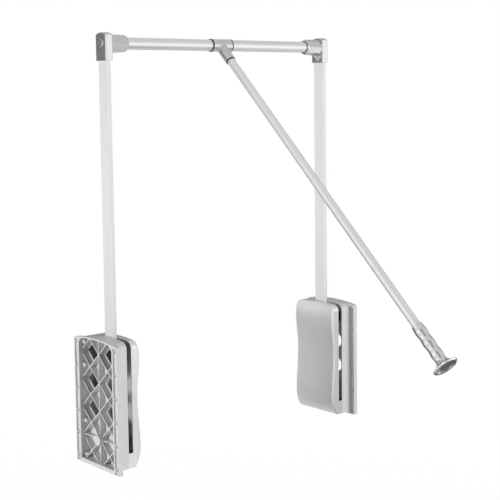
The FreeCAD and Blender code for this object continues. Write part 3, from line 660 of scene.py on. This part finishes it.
class RAIL_OT_stage(bpy.types.Operator):
    """Camera, floor, room light, softboxes and reflection cards"""
    bl_idname = "clothes_rail.stage"
    bl_label = "Stage"

    def execute(self, context):
        s = context.scene.rail_stage
        context.scene.view_settings.view_transform = "Standard"
        self.camera(context.scene, s)
        self.floor(s)
        self.room(context.scene, s)
        for name, place, strength in SOFTBOXES:
            self.softbox(name, place, getattr(s, strength))
        for name, place, along, across, strength in CARDS:
            self.card(name, Vector(place), Vector(along), Vector(across), getattr(s, strength))
        return {"FINISHED"}

    def camera(self, scene, s):
        data = bpy.data.cameras.new("Camera")
        data.sensor_width = SENSOR_WIDTH
        data.lens = s.lens
        data.shift_y = s.rise
        data.clip_end = VIEW_END
        camera = link(bpy.data.objects.new("Camera", data))
        yaw, pitch, roll = s.camera_yaw, s.camera_pitch, s.camera_roll
        level = math.cos(pitch)
        ahead = Vector((math.sin(yaw) * level, math.cos(yaw) * level, math.sin(pitch)))
        side = Vector((math.cos(yaw), -math.sin(yaw), 0.0))
        up = side.cross(ahead)
        across = math.cos(roll) * side + math.sin(roll) * up
        upright = -math.sin(roll) * side + math.cos(roll) * up
        turn = Matrix((across, upright, -ahead)).transposed()
        camera.matrix_world = Matrix.Translation(Vector(s.camera_place)) @ turn.to_4x4()
        scene.camera = camera

    def shown(self, tree):
        """1 where the white background shows: directly, in reflections or through clear pieces."""
        path = add(tree, "ShaderNodeLightPath").outputs
        seen = add(tree, "ShaderNodeMath", {0: path["Is Camera Ray"], 1: path["Is Glossy Ray"]},
                   operation="MAXIMUM")
        through = add(tree, "ShaderNodeMath", {0: seen.outputs[0], 1: path["Is Transmission Ray"]},
                      operation="MAXIMUM")
        return through.outputs[0]

    def floor(self, s):
        """A pale floor that keeps a faint shadow near the object and looks white further off."""
        made = bpy.data.materials.new("Pale floor")
        made.cycles.emission_sampling = "NONE"
        tree = bare(made)
        matt = add(tree, "ShaderNodeBsdfPrincipled", {"Base Color": FLOOR_COLOUR, "Roughness": 0.9})
        white = add(tree, "ShaderNodeEmission", {"Color": WHITE, "Strength": 1.0})
        spot = add(tree, "ShaderNodeTexCoord").outputs["Object"]
        away = add(tree, "ShaderNodeVectorMath", {0: spot}, operation="LENGTH")
        fade = add(tree, "ShaderNodeMapRange", {"Value": away.outputs["Value"], **FLOOR_FADE})
        part = add(tree, "ShaderNodeMath", {0: self.shown(tree), 1: fade.outputs[0]},
                   operation="MULTIPLY")
        both = add(tree, "ShaderNodeMixShader",
                   {0: part.outputs[0], 1: matt.outputs[0], 2: white.outputs[0]})
        add(tree, "ShaderNodeOutputMaterial", {"Surface": both.outputs[0]})
        r = FLOOR_REACH
        z = s.floor_level
        mesh = bpy.data.meshes.new("Floor")
        mesh.from_pydata([(-r, -r, z), (r, -r, z), (r, r, z), (-r, r, z)], [], [(0, 1, 2, 3)])
        mesh.materials.append(made)
        link(bpy.data.objects.new("Floor", mesh))

    def room(self, scene, s):
        """Even room light behind a white background."""
        world = bpy.data.worlds.new("White studio")
        tree = bare(world)
        white = add(tree, "ShaderNodeBackground", {"Color": WHITE, "Strength": 1.0})
        light = add(tree, "ShaderNodeBackground", {"Color": WHITE, "Strength": s.sky})
        both = add(tree, "ShaderNodeMixShader",
                   {0: self.shown(tree), 1: light.outputs[0], 2: white.outputs[0]})
        add(tree, "ShaderNodeOutputWorld", {"Surface": both.outputs[0]})
        scene.world = world

    def softbox(self, name, place, watts):
        """A soft lamp that no reflection shows, because bright metal shows the cards instead."""
        data = bpy.data.lights.new(name, "AREA")
        data.shape = "SQUARE"
        data.size = SOFTBOX_WIDTH
        data.energy = watts
        lamp = link(bpy.data.objects.new(name, data))
        lamp.visible_glossy = False
        lamp.location = place
        lamp.rotation_euler = (LIGHT_AIM - Vector(place)).to_track_quat("-Z", "Y").to_euler()

    def card(self, name, middle, along, across, strength):
        """A card that only reflections see, so that bright metal has edges."""
        made = bpy.data.materials.new(name)
        made.cycles.emission_sampling = "NONE"
        tree = bare(made)
        light = add(tree, "ShaderNodeEmission", {"Color": WHITE, "Strength": strength})
        add(tree, "ShaderNodeOutputMaterial", {"Surface": light.outputs[0]})
        corners = [middle - along - across, middle + along - across,
                   middle + along + across, middle - along + across]
        mesh = bpy.data.meshes.new(name)
        mesh.from_pydata(corners, [], [(0, 1, 2, 3)])
        mesh.materials.append(made)
        obj = link(bpy.data.objects.new(name, mesh))
        obj.visible_camera = False
        obj.visible_diffuse = False
        obj.visible_transmission = False
        obj.visible_shadow = False


class RAIL_OT_housings(bpy.types.Operator):
    """Moulded wall halves and room covers of both housings"""
    bl_idname = "clothes_rail.housings"
    bl_label = "Housings"

    def execute(self, context):
        f = finishes()
        for side in SIDES:
            body = side + "_housing"
            moulding(side + "_rear_shell", f["shell"], body, "silver_shell")
            moulding(side + "_cover", f["cover"], body, "silver_cover")
        return {"FINISHED"}


class RAIL_OT_shade_sheets(bpy.types.Operator):
    """Black ribbed sheets in the front top window of both lattice trays: painted shade, put where
    the window shows only shade
    """
    bl_idname = "clothes_rail.baffles"
    bl_label = "Baffles"

    def execute(self, context):
        f = finishes()
        s = context.scene.rail_sizes
        y, z = s.shade_sheet_place, s.shade_sheet_level
        wide, tall, rib = s.shade_sheet_width / 2, s.shade_sheet_height / 2, s.shade_sheet_rib / 2
        foot, head = z - tall + s.shade_sheet_rib, z + tall - s.shade_sheet_rib
        plate = [(y - wide, z), (y, z - tall), (y + wide, z), (y, z + tall)]
        upright = [(y - rib, foot), (y + rib, foot), (y + rib, head), (y - rib, head)]
        for side in SIDES:
            low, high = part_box(side + "_rear_shell")
            wall, inward = (low.x, 1) if side == "left" else (high.x, -1)
            face = wall + inward * s.shade_sheet_depth
            name = side + "_window_baffle"
            mesh = bpy.data.meshes.new(name)
            shape = bmesh.new()
            # Painted shade: a black sheet with an upright rib, put in the window where only shade
            # is seen
            prism(shape, plate, face, face + inward * s.shade_sheet_thick)
            prism(shape, upright, face - inward * s.shade_sheet_rib, face + inward * s.shade_sheet_thick / 2)
            bmesh.ops.recalc_face_normals(shape, faces=shape.faces)
            shape.to_mesh(mesh)
            shape.free()
            mesh.materials.append(f["black"])
            own(link(bpy.data.objects.new(name, mesh)), side + "_housing", "black_plastic")
        return {"FINISHED"}


class RAIL_OT_case_screws(bpy.types.Operator):
    """Cross-head screws of the shells and corners, and the grip's set screw"""
    bl_idname = "clothes_rail.case_screws"
    bl_label = "Screws"

    def execute(self, context):
        f = finishes()
        s = context.scene.rail_sizes
        for side in SIDES:
            screws(side, side + "_case_screws", s.case_shank, f["zinc"], side + "_housing")
            screws(side, side + "_corner_screw", s.corner_shank, f["steel"], side + "_frame")
        dress("grip_screw", f["casting"])
        return {"FINISHED"}


class RAIL_OT_arms(bpy.types.Operator):
    """Flat aluminium arms with their rivets"""
    bl_idname = "clothes_rail.arms"
    bl_label = "Arms"

    def execute(self, context):
        f = finishes()
        for side in SIDES:
            moulding(side + "_arm", f["arm"], side + "_frame", "arm_aluminium")
            dress(side + "_arm_rivets", f["steel"])
        return {"FINISHED"}


class RAIL_OT_corners(bpy.types.Operator):
    """Corner connectors with their black collars and the rail's plugs"""
    bl_idname = "clothes_rail.corners"
    bl_label = "Corner connectors"

    def execute(self, context):
        f = finishes()
        for side in SIDES:
            moulding(side + "_corner_connector", f["connector"], side + "_frame", "connector_grey")
            dress(side + "_socket_collar", f["black"])
            dress(side + "_rail_plug", f["nylon"])
        return {"FINISHED"}


class RAIL_OT_rail(bpy.types.Operator):
    """Two outer rail tubes and the core tube inside them"""
    bl_idname = "clothes_rail.rail"
    bl_label = "Rail"

    def execute(self, context):
        f = finishes()
        s = context.scene.rail_sizes
        lying = (0, math.pi / 2, 0)
        for node, wall, body in (("left_rail_tube", s.tube_wall, "left_frame"),
                                 ("right_rail_tube", s.tube_wall, "right_frame"),
                                 ("core_tube", s.core_wall, "centre_rail")):
            low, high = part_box(node)
            middle = (low + high) / 2
            half = (high.x - low.x) / 2
            profile = tube_profile((high.z - low.z) / 2, wall, -half, half, s.tube_ease)
            turned(node, profile, middle, lying, f["rail"], body, "rail_aluminium")
        return {"FINISHED"}


class RAIL_OT_tee(bpy.types.Operator):
    """Swivelling tee with its bushes and rod collar"""
    bl_idname = "clothes_rail.tee"
    bl_label = "Tee"

    def execute(self, context):
        f = finishes()
        moulding("tee", f["connector"], "pull_assembly", "connector_grey")
        dress("tee_bushes", f["black"])
        dress("rod_collar", f["black"])
        return {"FINISHED"}


class RAIL_OT_pull_rod(bpy.types.Operator):
    """Pull rod and its grip with three swells and a flared end"""
    bl_idname = "clothes_rail.pull_rod"
    bl_label = "Pull rod and grip"

    def execute(self, context):
        f = finishes()
        s = context.scene.rail_sizes
        low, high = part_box("core_tube")
        centre = (low + high) / 2
        low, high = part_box("pull_rod")
        radius = (high.x - low.x) / 2
        lean = (-s.rod_lean, 0, 0)
        tube = tube_profile(radius, s.rod_wall, -s.rod_end, -s.rod_start, s.tube_ease)
        handle = grip_profile(s, radius)
        turned("pull_rod", tube, centre, lean, f["rod"], "pull_assembly", "rod_aluminium")
        turned("grip", handle, centre, lean, f["grip"], "pull_assembly", "grip_metal")
        return {"FINISHED"}


class RAIL_OT_mechanism(bpy.types.Operator):
    """Pivots, sectors, racks, gas springs and stops inside the housings"""
    bl_idname = "clothes_rail.mechanism"
    bl_label = "Mechanism"

    def execute(self, context):
        f = finishes()
        worn = {"pivot_axle": "steel", "pivot_washers": "nylon", "hub_sector": "casting",
                "rack": "casting", "rack_guide": "nylon", "piston_rod": "steel",
                "gas_cylinder": "enamel", "cylinder_gland": "black", "cylinder_cradle": "black",
                "upright_buffer": "rubber", "lowered_buffer": "rubber"}
        for side in SIDES:
            for node, finish in worn.items():
                dress(side + "_" + node, f[finish])
        return {"FINISHED"}


class RAIL_PT_panel(bpy.types.Panel):
    """Lists the rail's pieces with their sizes, colours and light"""
    bl_idname = "RAIL_PT_panel"
    bl_label = "Clothes rail"
    bl_space_type = "VIEW_3D"
    bl_region_type = "UI"
    bl_category = "Clothes rail"

    def draw(self, context):
        for kind in PIECES:
            self.layout.operator(kind.bl_idname)
        scene = context.scene
        for group in (scene.rail_sizes, scene.rail_colours, scene.rail_stage):
            column = self.layout.column(align=True)
            for label in group.__annotations__:
                column.prop(group, label)


PIECES = (RAIL_OT_stage, RAIL_OT_housings, RAIL_OT_shade_sheets, RAIL_OT_case_screws, RAIL_OT_arms,
          RAIL_OT_corners, RAIL_OT_rail, RAIL_OT_tee, RAIL_OT_pull_rod, RAIL_OT_mechanism)
CLASSES = (RailSizes, RailColours, RailStage, *PIECES, RAIL_PT_panel)


def register():
    for kind in CLASSES:
        bpy.utils.register_class(kind)
    bpy.types.Scene.rail_sizes = PointerProperty(type=RailSizes)
    bpy.types.Scene.rail_colours = PointerProperty(type=RailColours)
    bpy.types.Scene.rail_stage = PointerProperty(type=RailStage)


def unregister():
    del bpy.types.Scene.rail_stage
    del bpy.types.Scene.rail_colours
    del bpy.types.Scene.rail_sizes
    for kind in reversed(CLASSES):
        bpy.utils.unregister_class(kind)


def main():
    register()
    for kind in PIECES:
        group, call = kind.bl_idname.split(".")
        getattr(getattr(bpy.ops, group), call)()


if __name__ == "__main__":
    main()
